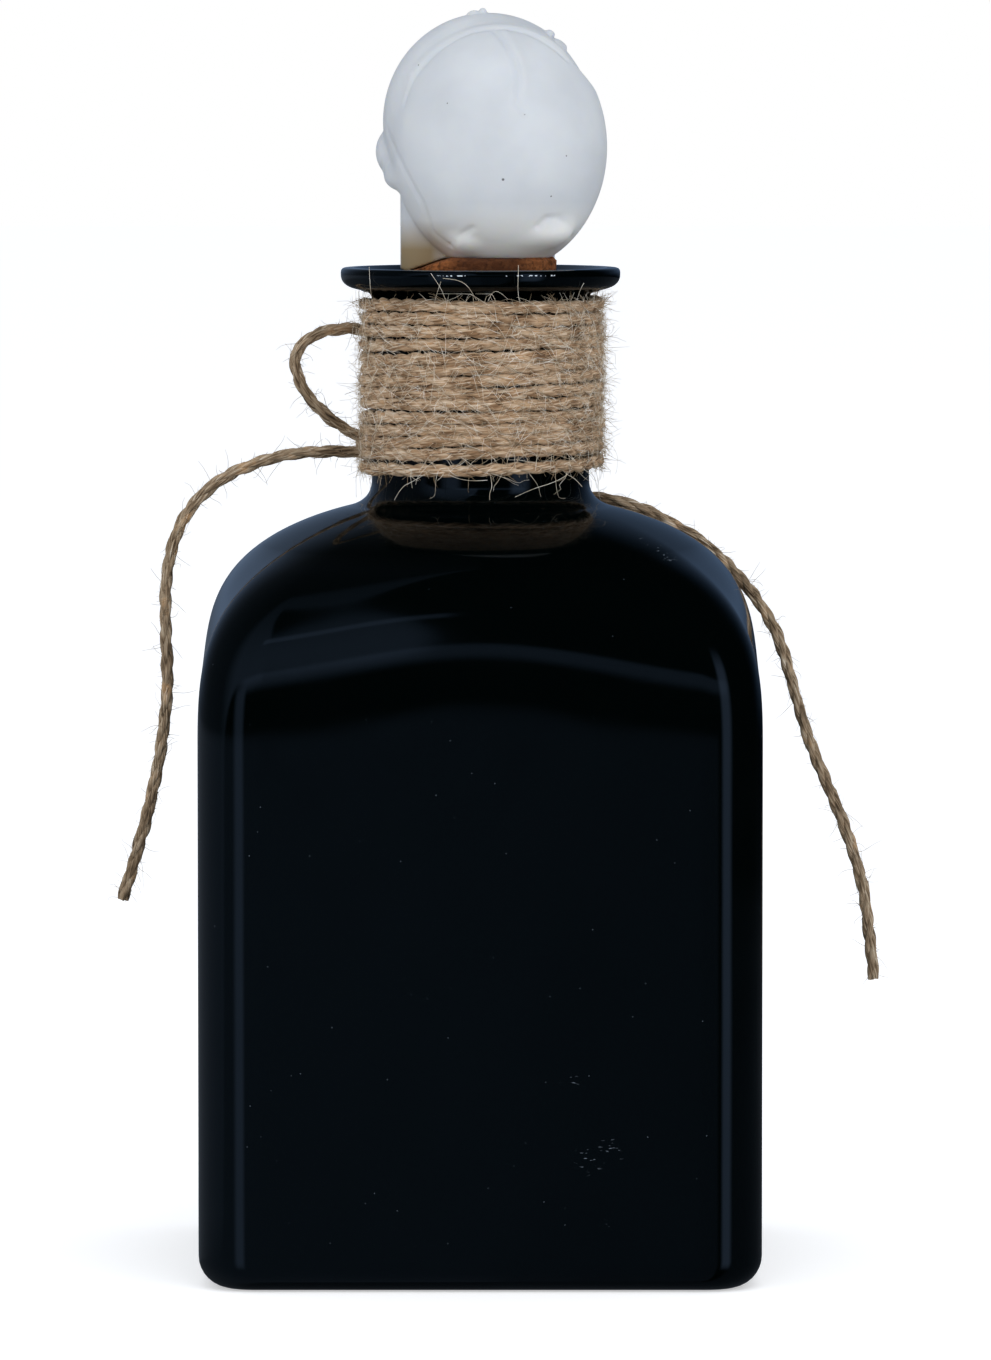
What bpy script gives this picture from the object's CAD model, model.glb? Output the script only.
# Square black bottle with a skull stopper, its neck wound with jute twine.
# Metres, +Z up, the photographed side faces -Y.

import math

import bpy
import numpy as np
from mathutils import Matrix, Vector, noise


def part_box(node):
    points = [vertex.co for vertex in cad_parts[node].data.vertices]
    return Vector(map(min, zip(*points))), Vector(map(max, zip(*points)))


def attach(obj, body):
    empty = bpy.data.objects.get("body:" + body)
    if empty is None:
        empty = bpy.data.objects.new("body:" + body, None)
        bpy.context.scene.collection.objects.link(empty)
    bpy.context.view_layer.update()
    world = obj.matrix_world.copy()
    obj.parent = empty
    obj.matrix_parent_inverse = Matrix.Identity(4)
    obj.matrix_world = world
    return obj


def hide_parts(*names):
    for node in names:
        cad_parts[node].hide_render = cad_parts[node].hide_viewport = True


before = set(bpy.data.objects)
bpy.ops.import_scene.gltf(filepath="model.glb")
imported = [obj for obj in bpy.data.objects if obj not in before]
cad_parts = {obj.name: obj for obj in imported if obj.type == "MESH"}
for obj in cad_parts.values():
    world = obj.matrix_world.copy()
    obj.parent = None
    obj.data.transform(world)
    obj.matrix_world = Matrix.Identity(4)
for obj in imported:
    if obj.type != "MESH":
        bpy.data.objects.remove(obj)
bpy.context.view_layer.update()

mm = 0.001
fullTurn = 2 * math.pi
scene = bpy.context.scene
work = {"tree": None}  # the node tree begun last, which new nodes go into


# small helpers

def hexColour(text):
    channels = [int(text[i:i + 2], 16) / 255 for i in (1, 3, 5)]
    linear = [c / 12.92 if c <= 0.04045 else ((c + 0.055) / 1.055) ** 2.4 for c in channels]
    return (*linear, 1)


def beginNodes(tree):
    tree.nodes.clear()
    work["tree"] = tree


# adds a node to the tree begun last: values for its inputs, in order or by name in a dictionary, and settings
# a value may be what another node puts out, and it gives back one of the node's outputs, or all of them
def add(kind, *values, get=0, stops=None, **settings):
    tree = work["tree"]
    node = tree.nodes.new(kind if "Node" in kind else "ShaderNode" + kind)
    for name, value in settings.items():
        setattr(node, name, value)
    for element, (spot, colour) in zip(rampElements(node, stops), stops or ()):
        element.position = spot
        element.color = hexColour(colour) if isinstance(colour, str) else (colour,) * 3 + (1,)
    inputs = {}
    for place, value in enumerate(values):
        inputs.update(value if isinstance(value, dict) else {place: value})
    for key, value in inputs.items():
        if isinstance(value, bpy.types.NodeSocket):
            tree.links.new(value, node.inputs[key])
        else:
            node.inputs[key].default_value = hexColour(value) if str(value).startswith("#") else value
    return node.outputs if get is None or not node.outputs else node.outputs[get]


def rampElements(node, stops):
    elements = node.color_ramp.elements if stops else []
    while stops and len(elements) < len(stops):
        elements.new(0.5)
    return elements


def times(first, *others):
    for other in others:
        first = add("Math", first, other, operation="MULTIPLY")
    return first


def farFrom(where, spot):
    return add("VectorMath", where, tuple(c * mm for c in spot), operation="DISTANCE", get="Value")


def newMaterial(name):
    material = bpy.data.materials.new(name)
    material.use_nodes = True
    beginNodes(material.node_tree)
    return material, add("TexCoord", get="Object")


def coat(material, inputs):
    shader = add("BsdfPrincipled", inputs)
    add("OutputMaterial", {"Surface": shader})
    return material


def linked(name, data):
    made = bpy.data.objects.new(name, data)
    scene.collection.objects.link(made)
    return made


def meshObject(name, points, faces, material):
    mesh = bpy.data.meshes.new(name)
    mesh.from_pydata([tuple(p) for p in points], [], [tuple(f) for f in faces])
    mesh.polygons.foreach_set("use_smooth", [True] * len(mesh.polygons))
    mesh.materials.append(material)
    mesh.update()
    return linked(name, mesh)


def place(piece, body, slotName, *nodes):
    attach(piece, body)
    if nodes:
        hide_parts(*nodes)
    print("piece", piece.name, len(piece.data.polygons), "faces")


def evenAngles(count):
    return np.arange(count) * fullTurn / count


def ringOf(reach, angles, height):
    level = np.full_like(angles, height)
    return np.stack([reach * np.cos(angles), reach * np.sin(angles), level], 1) * mm


# rings of points joined into a skin; a ring of one point closes a pole
def skinRings(rings):
    points = []
    starts = []
    for ring in rings:
        starts.append(len(points))
        points.extend(ring)
    faces = []
    for (low, lowStart), (high, highStart) in zip(zip(rings, starts), zip(rings[1:], starts[1:])):
        count = max(len(low), len(high))
        for i in range(count):
            j = (i + 1) % count
            if len(low) == 1:
                faces.append((lowStart, highStart + j, highStart + i))
            elif len(high) == 1:
                faces.append((lowStart + i, lowStart + j, highStart))
            else:
                faces.append((lowStart + i, lowStart + j, highStart + j, highStart + i))
    return points, faces


# camera at the photograph's viewing angle

cameraView = {"place": (2.4 * mm, -1500 * mm, 197 * mm), "pitch": 3.96, "lens": 248.2, "sensor": 36,
              "near": 0.05}
cameraData = bpy.data.cameras.new("camera")
cameraData.lens = cameraView["lens"]
cameraData.sensor_width = cameraView["sensor"]
cameraData.clip_start = cameraView["near"]
camera = linked("camera", cameraData)
camera.location = cameraView["place"]
camera.rotation_euler = (math.radians(90 - cameraView["pitch"]), 0, 0)
scene.camera = camera
print("camera set")


# materials

# soda-lime glass, sprayed opaque black on the outside: a deep gloss with a blue cast, a slow waviness from
# the mould, dust specks, patches of small scratches, a broken row of chips on the lip, and dull rings on the
# shoulder and under the lip where lint from the twine has settled
lacquer = {  # in mm: scratches as centre and reach, then the heights or the run that a mark covers
    "scratches": [((17, -44.3, 21.2), 2.8), ((20.4, -44.3, 22.6), 2.4), ((19.2, -44.3, 10.9), 1.3),
                  ((14, -44.3, 33.4), 1.6), ((26.5, -26, 117.2), 3.6), ((29.5, -28, 115.4), 3)],
    "chipHeights": (158, 159), "chipRun": (-12, 14), "lintHeights": (113, 124), "lipShade": (157.3, 156.2),
    "neckMiddle": 150,
}


def lacqueredGlass():
    material, where = newMaterial("black_lacquered_glass")
    axis = add("SeparateXYZ", where, get=None)

    def overRange(value, key):
        return add("MapRange", value, *(end * mm for end in lacquer[key]))

    dust = add("TexVoronoi", {"Vector": where, "Scale": 1 / (2.6 * mm)}, get=None)
    speck = add("ValToRGB", dust["Distance"], stops=[(0, 1), (0.018, 1), (0.036, 0)])
    marks = times(speck, add("ValToRGB", dust["Color"], stops=[(0, 0), (0.62, 0), (0.66, 1)]))
    strokeSize = (1 / (1.1 * mm), 1 / (3 * mm), 1 / (0.3 * mm))
    stretched = add("Mapping", {"Vector": where, "Rotation": (0, 0.35, 0), "Scale": strokeSize})
    stroke = add("ValToRGB", add("TexNoise", {"Vector": stretched, "Scale": 1, "Detail": 1}, get="Fac"),
                 stops=[(0, 0), (0.67, 0), (0.74, 1)])
    for centre, reach in lacquer["scratches"]:
        patch = add("MapRange", farFrom(where, centre), reach * mm, reach * 0.3 * mm)
        marks = add("Math", marks, times(stroke, patch), operation="MAXIMUM")
    colour = add("Mix", {"Factor": marks, 6: "#010303", 7: "#5d666f"}, get=2, data_type="RGBA")
    row = add("ValToRGB", overRange(axis["Z"], "chipHeights"),
              stops=[(0.38, 0), (0.44, 1), (0.54, 1), (0.6, 0)])
    dash = add("ValToRGB", add("TexNoise", {"Vector": where, "Scale": 1 / (0.36 * mm), "Detail": 0},
                               get="Fac"), stops=[(0.57, 0), (0.65, 1)])
    run = add("ValToRGB", overRange(axis["X"], "chipRun"),
              stops=[(0.15, 0), (0.16, 1), (0.38, 1), (0.39, 0), (0.61, 0), (0.62, 1), (0.91, 1), (0.92, 0)])
    colour = add("Mix", {"Factor": times(dash, run, row), 6: colour, 7: "#d5dde6"}, get=2, data_type="RGBA")
    rough = add("MapRange", add("TexNoise", {"Vector": where, "Scale": 1 / (9 * mm), "Detail": 6}, get="Fac"),
                0.35, 0.75, 0.04, 0.1)
    linty = add("ValToRGB", overRange(axis["Z"], "lintHeights"),
                stops=[(0, 0), (0.2, 1), (0.72, 1), (0.86, 0)])
    under = times(overRange(axis["Z"], "lipShade"),
                  add("Math", axis["Z"], lacquer["neckMiddle"] * mm, operation="GREATER_THAN"))
    dull = add("Math", times(linty, 0.95), under, operation="MAXIMUM")
    linted = add("Math", linty, under, operation="MAXIMUM")
    cast = add("Mix", {"Factor": linted, 6: "#c4d9f2", 7: "#5f6f72"}, get=2, data_type="RGBA")
    waves = add("TexNoise", {"Vector": where, "Scale": 1 / (28 * mm), "Detail": 1}, get="Fac")
    return coat(material, {
        "Base Color": colour, "Roughness": add("Math", marks, 0.2, rough, operation="MULTIPLY_ADD"),
        "IOR": 1.5, "Specular IOR Level": add("Math", dull, -0.44, 0.5, operation="MULTIPLY_ADD"),
        "Specular Tint": cast,
        "Normal": add("Bump", {"Height": waves, "Strength": 0.25, "Distance": 0.5 * mm})})


# slush-cast vinyl, off white and unpainted: matt, waxy, paler at the nape and stained by glue inside the jaw
def castVinyl(pinholes):
    material, where = newMaterial("off_white_cast_vinyl")
    across, depth, height = add("SeparateXYZ", where, get=None)
    cloud = add("TexNoise", {"Vector": where, "Scale": 1 / (11 * mm), "Detail": 3}, get="Fac")
    tint = add("ValToRGB", cloud, stops=[(0.3, "#c9cdd1"), (0.5, "#cfd3d7"), (0.7, "#d4d8da")])
    foot = add("MapRange", height, 162.5 * mm, 170 * mm, 1, 0)
    nape = times(foot, add("MapRange", depth, 6 * mm, -4 * mm))
    inward = add("Math", across, -0.8, depth, operation="MULTIPLY_ADD")  # grows towards the teeth's face
    jaw = times(add("MapRange", height, 167 * mm, 162 * mm), add("MapRange", across, -3.5 * mm, -8 * mm),
                add("MapRange", inward, 18.5 * mm, 16.5 * mm))
    pores = add("TexNoise", {"Vector": where, "Scale": 1 / (0.5 * mm), "Detail": 3}, get="Fac")
    pale = add("Mix", {"Factor": nape, 6: tint, 7: "#f5f4ef"}, get=2, data_type="RGBA")
    colour = add("Mix", {"Factor": jaw, 6: pale, 7: "#a08c6a"}, get=2, data_type="RGBA")
    for centre, radius in pinholes:
        dot = add("MapRange", farFrom(where, centre), radius * 0.6 * mm, radius * mm, 0.85, 0)
        colour = add("Mix", {"Factor": dot, 6: colour, 7: "#3d3d3b"}, get=2, data_type="RGBA")
    return coat(material, {
        "Base Color": colour, "Roughness": add("MapRange", cloud, 0.3, 0.7, 0.46, 0.58), "IOR": 1.46,
        "Subsurface Weight": 0.35, "Subsurface Radius": (1.6, 1.2, 0.7), "Subsurface Scale": 1.2 * mm,
        "Normal": add("Bump", {"Height": pores, "Strength": 0.12, "Distance": 0.1 * mm})})


# agglomerated cork: pressed crumbs of 1 to 2 mm, orange brown, dull, with dark pits and a patch of dark bark
barkSpot = (2.5, -12.2, 159.5)


def pressedCork():
    material, where = newMaterial("pressed_cork")
    bent = add("TexNoise", {"Vector": where, "Scale": 1 / (0.8 * mm), "Detail": 3}, get="Color")
    shifted = add("VectorMath", bent, (1.4 * mm,) * 3, where, operation="MULTIPLY_ADD")
    crumbs = add("TexVoronoi", {"Vector": shifted, "Scale": 1 / (1.3 * mm)}, get=None)
    fine = add("TexNoise", {"Vector": where, "Scale": 1 / (0.6 * mm), "Detail": 5}, get="Fac")
    tone = add("ValToRGB", crumbs["Color"], stops=[(0.1, "#774520"), (0.4, "#95592e"), (0.65, "#ab6b3d"),
                                                   (0.9, "#854b25")])
    mottle = add("ValToRGB", fine, stops=[(0.32, 0.35), (0.46, 0.85), (0.7, 1.1)])
    bark = add("MapRange", farFrom(shifted, barkSpot), 8.5 * mm, 5 * mm, 0, 0.8)
    mottled = add("Mix", {"Factor": 1, 6: tone, 7: mottle}, get=2, data_type="RGBA", blend_type="MULTIPLY")
    colour = add("Mix", {"Factor": bark, 6: mottled, 7: "#3d2010"}, get=2, data_type="RGBA")
    height = add("Math", crumbs["Distance"], -0.6, fine, operation="MULTIPLY_ADD")
    pitted = add("Bump", {"Height": height, "Strength": 0.8, "Distance": 0.5 * mm})
    return coat(material, {"Base Color": colour, "Normal": pitted,
                           "Roughness": 0.9, "IOR": 1.4})


# hot-melt glue: milky amber, soft gloss
def hotMeltGlue():
    material, where = newMaterial("hot_melt_glue")
    tint = add("ValToRGB", add("TexNoise", {"Vector": where, "Scale": 1 / (3 * mm), "Detail": 3}, get="Fac"),
               stops=[(0.35, "#cdb887"), (0.65, "#dccca2")])
    return coat(material, {"Base Color": tint, "Roughness": 0.3, "Subsurface Weight": 0.3,
                           "Subsurface Scale": 1 * mm})


# turned beech: pale, fine brown flecks along the grain
def turnedBeech():
    material, where = newMaterial("turned_beech")
    grain = (1 / (0.4 * mm), 1 / (0.4 * mm), 1 / (6 * mm))
    along = add("Mapping", {"Vector": where, "Scale": grain})
    flecks = add("TexNoise", {"Vector": along, "Scale": 1, "Detail": 3}, get="Fac")
    grooved = add("Bump", {"Height": flecks, "Strength": 0.3, "Distance": 0.1 * mm})
    tint = add("ValToRGB", flecks, stops=[(0.35, "#a9794a"), (0.55, "#cfa273"), (0.75, "#dab389")])
    return coat(material, {"Base Color": tint, "Normal": grooved, "Roughness": 0.6})


# jute: dry flax-coloured bast fibre spun into yarn; streaks run along the yarn, no gloss
def spunJute(name, shades):
    material, where = newMaterial(name)
    yarn = add("Attribute", get="Vector", attribute_name="yarn")
    streaked = add("Mapping", {"Vector": yarn, "Scale": (2.4, 2.4, 0.14)})
    streaks = add("TexNoise", {"Vector": streaked, "Scale": 1, "Detail": 5}, get="Fac")
    patches = add("TexNoise", {"Vector": where, "Scale": 1 / (3.5 * mm), "Detail": 2}, get="Fac")
    shade = add("Math", streaks, add("Math", patches, 0.55, -0.275, operation="MULTIPLY_ADD"),
                operation="ADD")
    tint = add("ValToRGB", shade, stops=list(zip((0.27, 0.40, 0.52, 0.64, 0.78), shades)))
    rust = add("ValToRGB", patches, stops=[(0.58, 0), (0.7, 0.45)])
    return coat(material, {
        "Base Color": add("Mix", {"Factor": rust, 6: tint, 7: "#b3844f"}, get=2, data_type="RGBA"),
        "Normal": add("Bump", {"Height": streaks, "Strength": 1, "Distance": 0.3 * mm}), "Roughness": 0.85,
        "IOR": 1.4, "Sheen Weight": 0.25, "Sheen Roughness": 0.5,
        "Sheen Tint": hexColour("#ead9ba")})


# loose jute fibre: each a little different
def looseJute(name, shades):
    material, where = newMaterial(name)
    tint = add("ValToRGB", add("TexNoise", {"Vector": where, "Scale": 1 / (1.8 * mm), "Detail": 1},
                               get="Fac"), stops=list(zip((0.35, 0.5, 0.65), shades)))
    return coat(material, {"Base Color": tint, "Roughness": 0.7, "IOR": 1.4})


glassMaterial = lacqueredGlass()
corkMaterial = pressedCork()
glueMaterial = hotMeltGlue()
beechMaterial = turnedBeech()
juteMaterial = spunJute("spun_jute", ("#482f1b", "#8e6e4f", "#b99a7a", "#d2bca2", "#efe3d2"))
greyJuteMaterial = spunJute("weathered_spun_jute", ("#33261a", "#6e5b45", "#968168", "#b4a38b", "#dfd6c7"))
fibreMaterial = looseJute("loose_jute_fibre", ("#8f7859", "#b39d80", "#d8c9b0"))
dullMaterial = looseJute("weathered_jute_fibre", ("#5f4e3a", "#85725a", "#b09e84"))
paleMaterial = looseJute("bleached_jute_fibre", ("#cdbfa8", "#e4dac7", "#f8f3e9"))
print("materials made")


# bottle: rings of a rounded square that opens into a round neck, one skin outside and in

bottle = {
    "corner": 9, "heel": 5, "wall": 3.2, "floor": 6.5, "innerHeel": 4, "shoulderStart": 85,
    "shoulderTop": 121.75, "neck": 17.4, "neckFoot": 127, "neckSweep": 4.2, "bore": 11, "mouth": 12.1,
    "seatFoot": 133, "funnel": 156, "lipRise": 0.3, "puntRadius": 33, "puntDepth": 2.5,
    "domeEnd": 1.02, "domePower": 4.3, "domeRoot": 1.45, "rootShare": 0.75, "domeShare": 0.985,
    "domeEase": 1.25, "openingPower": 2.6, "around": 320, "diagonalShare": 0.72,
    "lipProfile": [  # radius and depth below the rim: a point, or start, pull and end of a bend and its count
        ((17.4, 5.1), (17.4, 3.9), (18.6, 3.9), 6), ((19.3, 3.6),),
        ((19.9, 3.45), (22.45, 2.9), (22.35, 1), 9), ((22.35, 0.8), (22.35, 0), (21.45, 0), 7), ((20.65, 0),),
        ((20.5, 0), (20.3, 0), (20, 0.1), 4)],
}
evenRing = evenAngles(bottle["around"])
ringAngles = evenRing + bottle["diagonalShare"] / 4 * np.sin(4 * evenRing)  # closer together at the corners
foldedAngles = np.abs((ringAngles + math.pi / 4) % (math.pi / 2) - math.pi / 4)


def reachOfSquare(halfWidth, corner):
    flat = halfWidth - corner
    across = (np.cos(foldedAngles) + np.sin(foldedAngles)) * flat
    under = np.maximum(across ** 2 - (2 * flat ** 2 - corner ** 2), 0)
    onFlat = np.tan(foldedAngles) * halfWidth <= flat
    return np.where(onFlat, halfWidth / np.cos(foldedAngles), across + np.sqrt(under))


def roundSquare(halfWidth, corner, height):
    return ringOf(reachOfSquare(halfWidth, corner), ringAngles, height)


# shoulder rings from the body to the neck: the square gives way to the circle, so each flat ends in an arch
def shoulderRings(halfWidth, corner, top, neck, count):
    start = bottle["shoulderStart"]
    root = bottle["rootShare"] * neck
    shares = bottle["domeShare"] * np.sin(np.linspace(0, math.pi / 2, count)) ** bottle["domeEase"]
    rings = []
    for share in shares:
        opening = (share / shares[-1]) ** bottle["openingPower"]
        spread = (1 - min(share / bottle["domeEnd"], 1) ** bottle["domePower"]) ** (1 / bottle["domeRoot"])
        half = root + spread * (halfWidth - root)
        square = reachOfSquare(half, min(corner, half))
        rings.append(ringOf(square + opening * (half - square), ringAngles, start + share * (top - start)))
    return rings


def bend(start, pull, end, count):
    steps = np.linspace(0, 1, count)[:, None]
    start, pull, end = (np.array(p, float) for p in (start, pull, end))
    return (1 - steps) ** 2 * start + 2 * steps * (1 - steps) * pull + steps ** 2 * end


def lipPoints(rim):
    points = []
    for row in bottle["lipProfile"]:
        spots = [(radius, rim - depth) for radius, depth in row[:3]]
        points += spots if len(row) == 1 else list(bend(*spots, row[3]))
    return points


def bottleSkin():
    low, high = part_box("bottle")
    half = (high.x - low.x) / 2 / mm
    rim = high.z / mm + bottle["lipRise"]
    corner, heel, wall, neck, bore = (bottle[key] for key in ("corner", "heel", "wall", "neck", "bore"))
    punt, puntDepth, mouth, funnel = (bottle[key] for key in ("puntRadius", "puntDepth", "mouth", "funnel"))
    floorLevel, innerHeel, top = (bottle[key] for key in ("floor", "innerHeel", "shoulderTop"))
    quarter = np.linspace(0, math.pi / 2, 9)
    flatHalf = half - heel
    flatCorner = corner - heel
    levels = [(punt * share, punt * share, puntDepth * (1 - share ** 2)) for share in np.linspace(0.12, 1, 8)]
    levels += [(punt + share * (flatHalf - punt), punt + share * (flatCorner - punt), 0)
               for share in (0.02, 0.3, 0.65)]
    for turn in quarter:
        out = heel * math.sin(turn)
        levels.append((flatHalf + out, flatCorner + out, heel * (1 - math.cos(turn))))
    levels += [(half, corner, height) for height in np.linspace(heel, bottle["shoulderStart"], 12)[1:-1]]
    dome = shoulderRings(half, corner, top, neck, 64)
    (beforeHalf, beforeHeight), (lastHalf, lastHeight) = (ring[0][[0, 2]] / mm for ring in dome[-2:])
    slope = (lastHeight - beforeHeight) / (beforeHalf - lastHalf)
    pull = (neck, lastHeight + slope * (lastHalf - neck))
    profile = list(bend((lastHalf, lastHeight), pull, (neck, lastHeight + bottle["neckSweep"]), 14)[1:])
    lip = lipPoints(rim)
    profile += [(neck, height) for height in np.linspace(bottle["neckFoot"], lip[0][1], 8)[:-1]]
    profile += lip + [(16.5, (rim + funnel) / 2), (mouth + 0.3, funnel + 0.12), (mouth, funnel - 0.2)]
    profile += [(11.6, 146), (bore, bottle["seatFoot"]), (bore, 126), (bore, 120)]
    rings = [[(0, 0, puntDepth * mm)]] + [roundSquare(*level) for level in levels] + dome
    rings += [roundSquare(radius, radius, height) for radius, height in profile]
    rings += shoulderRings(half - wall, corner - wall, top - wall, bore, 26)[::-1]
    for turn in quarter[::2]:
        shrink = innerHeel * (1 - math.cos(turn))
        height = floorLevel + innerHeel * (1 - math.sin(turn))
        rings.append(roundSquare(half - wall - shrink, corner - wall - shrink, height))
    rings += [roundSquare(20, 4, floorLevel), [(0, 0, floorLevel * mm)]]
    points, faces = skinRings(rings)
    return points, [face[::-1] for face in faces]


place(meshObject("bottle_glass", *bottleSkin(), glassMaterial), "bottle", "black_glass", "bottle")


# skull: egg-shaped lumps melted together, cut by sockets, nose and tooth gaps. X points to its face

skull = {
    "length": 40, "width": 34.8, "height": 38.3, "turn": 108, "offset": (2.6, 0.8, 161.6),
    "grid": 0.34, "gridLow": (-21.5, -19, -4.2), "gridHigh": (21.5, 19, 39.5),
    "corkRoom": 12.75, "sink": 1, "sinkMelt": 0.8, "jawMelt": 1, "jawDrop": 3.5, "jawTilt": 4,
    "jawCentre": 9.9, "jawReach": 8.4, "jawWidth": 12.77, "jawTop": 9.2,
    "toothGaps": (-60, -47, -34, -22, -11, 0, 11, 22, 34, 47, 60), "toothTop": 2.1, "toothFade": 1.8,
    "toothArc": 66, "toothSwell": 0.12, "gapScale": 0.19, "gapDepth": 0.62, "gapWidth": 0.32,
    "breakAt": -4.7, "breakSlope": 0.36, "breakRoom": 1.2,
}
lumpShares = {  # place and radii as shares of half length, half width and height, then the melt in mm
    "frontal": (0.23, 0, 0.546, 0.78, 0.972, 0.454, 1),
    "midface": (0.475, 0, 0.222, 0.46, 0.684, 0.26, 1),
    "brow": (0.76, 0, 0.445, 0.24, 0.72, 0.085, 1.2),
    "cheekbone": (0.525, 0.755, 0.420, 0.26, 0.20, 0.112, 0.8),
    "cheekArch": (0.16, 0.835, 0.318, 0.46, 0.098, 0.062, 0.8),
}
hollowShares = {
    "socket": (0.94, 0.39, 0.335, 0.36, 0.264, 0.115, 1),
    "noseLow": (0.99, 0, 0.155, 0.20, 0.135, 0.07, 0.5),
    "noseHigh": (0.97, 0, 0.225, 0.20, 0.075, 0.085, 0.5),
}
braincaseShares = (-0.075, 0, 0.441, 0.925, 0.977, 0.522)
blobs = [  # small lumps of the casting, in mm: place, radii, how far they melt in
    ((-7.6, 7.2, 2.5), (3.3, 2.9, 2.1), 1.6), ((-11.9, -4.1, 3.6), (3.3, 3.9, 2), 2.4),
    ((0.6, -11.3, 33.1), (1.6, 3.4, 1.4), 0.25), ((0.2, -9.2, 34.9), (1.2, 1.1, 0.8), 0.2),
    ((4.2, 2.4, 37.8), (0.9, 1.3, 0.9), 0.3), ((4.2, 1, 38.2), (0.8, 0.7, 0.9), 0.3),
]
dent = ((-7.1, -19.2, 38.1), 12, 1.5)  # a flat below the flash tab
templeLine = [(4.4, 17.3, 19.3), (2.8, 17, 17.8), (-2.7, 16.8, 14.5), (-5.3, 16, 11.2), (-6.6, 14.6, 8.2),
              (-5.8, 13.4, 5.4), (-4.7, 12.4, 3.4)]
seams = [  # surface lines of the casting in mm: height (below 0 a groove), width, points
    (-0.2, 0.6, [(-11.6, -7.8, 30.9), (-10.2, -4.4, 33.8), (-9, -2.2, 35), (-8, 0.3, 35.6), (-6.6, 3.7, 35.6),
                 (-5.3, 6, 35.1), (-4.3, 8.7, 33.8), (-3.3, 10.9, 32.1), (-2.7, 12.7, 30.3),
                 (-1.8, 14.3, 28.2), (-1.6, 15.4, 26), (-1.7, 16, 23.9)]),
    (0.17, 1.1, [(-9.6, -8.2, 32.4), (-8.6, -4.6, 34.9), (-7.4, -2.2, 35.9), (-6.4, 0.3, 36.4),
                 (-5, 3.7, 36.2), (-3.7, 6, 35.6), (-2.7, 8.7, 34.3), (-1.7, 10.9, 32.6), (-1.1, 12.8, 30.6),
                 (-0.2, 14.4, 28.4)]),
    (-0.25, 0.55, [(-8, 2.9, 35.3), (-12.1, 2.3, 33), (-14.5, 1.8, 30.9), (-16.4, 1.8, 28.5),
                   (-17.7, 2.3, 26.1), (-18.5, 2.8, 24), (-19.2, 1.7, 22.5)]),
    (0.18, 0.85, [(-8.6, 1.5, 35.4), (-12.5, 1.1, 32.9), (-14.9, 0.6, 30.7), (-16.7, 0.6, 28.3),
                  (-18, 1, 26)]),
    (-0.2, 0.8, templeLine + [(-5.7, 11.4, 1.9), (-6.6, 10.1, 1.3)]),
    (-0.2, 0.8, [(x, -y, z) for x, y, z in templeLine]),
    (-0.2, 0.55, [(-6.6, 10.1, 1.3), (-8.6, 9.8, 2.4), (-11.2, 9, 3.5), (-12.7, 8.2, 4.3)]),
    (-0.28, 0.55, [(-16, -1.7, 4.6), (-16.5, -2.7, 5.9), (-15.8, -4.8, 6), (-13.6, -7.1, 4.6),
                   (-9.7, -9.2, 2.6)]),
]
pinholes = [  # place and radius in mm
    ((-18.6, 5, 12), 0.26), ((-19.2, 1.6, 22.3), 0.22), ((-1.1, 13.5, 30), 0.17), ((-12.5, 12.3, 24), 0.15),
    ((-18.3, -3.1, 9.3), 0.17), ((-19, -5.4, 15.7), 0.15), ((-8.1, 0.8, 35.5), 0.15),
]
skullScale = np.array([skull["length"] / 2, skull["width"] / 2, skull["height"]])
skullTurn = math.radians(skull["turn"])
turnCos, turnSin = math.cos(skullTurn), math.sin(skullTurn)
skullSpin = np.array([[turnCos, -turnSin, 0], [turnSin, turnCos, 0], [0, 0, 1]])
corkX, corkY = (-np.array(skull["offset"]) @ skullSpin)[:2]  # the cork's axis in the skull's own frame


def toBottle(points):
    return points @ skullSpin.T + np.array(skull["offset"])


def eggDistance(points, centre, radii):
    away = points - np.array(centre)
    radii = np.array(radii)
    near = np.linalg.norm(away / radii, axis=1)
    steep = np.linalg.norm(away / radii ** 2, axis=1)
    return near * (near - 1) / np.maximum(steep, 1e-6)


def sharedEgg(points, shares):
    return eggDistance(points, np.array(shares[:3]) * skullScale, np.array(shares[3:6]) * skullScale)


def melt(a, b, reach):
    share = np.clip(0.5 + 0.5 * (b - a) / reach, 0, 1)
    return b + (a - b) * share - reach * share * (1 - share)


def carve(a, cut, reach):
    return -melt(-a, cut, reach)


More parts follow.
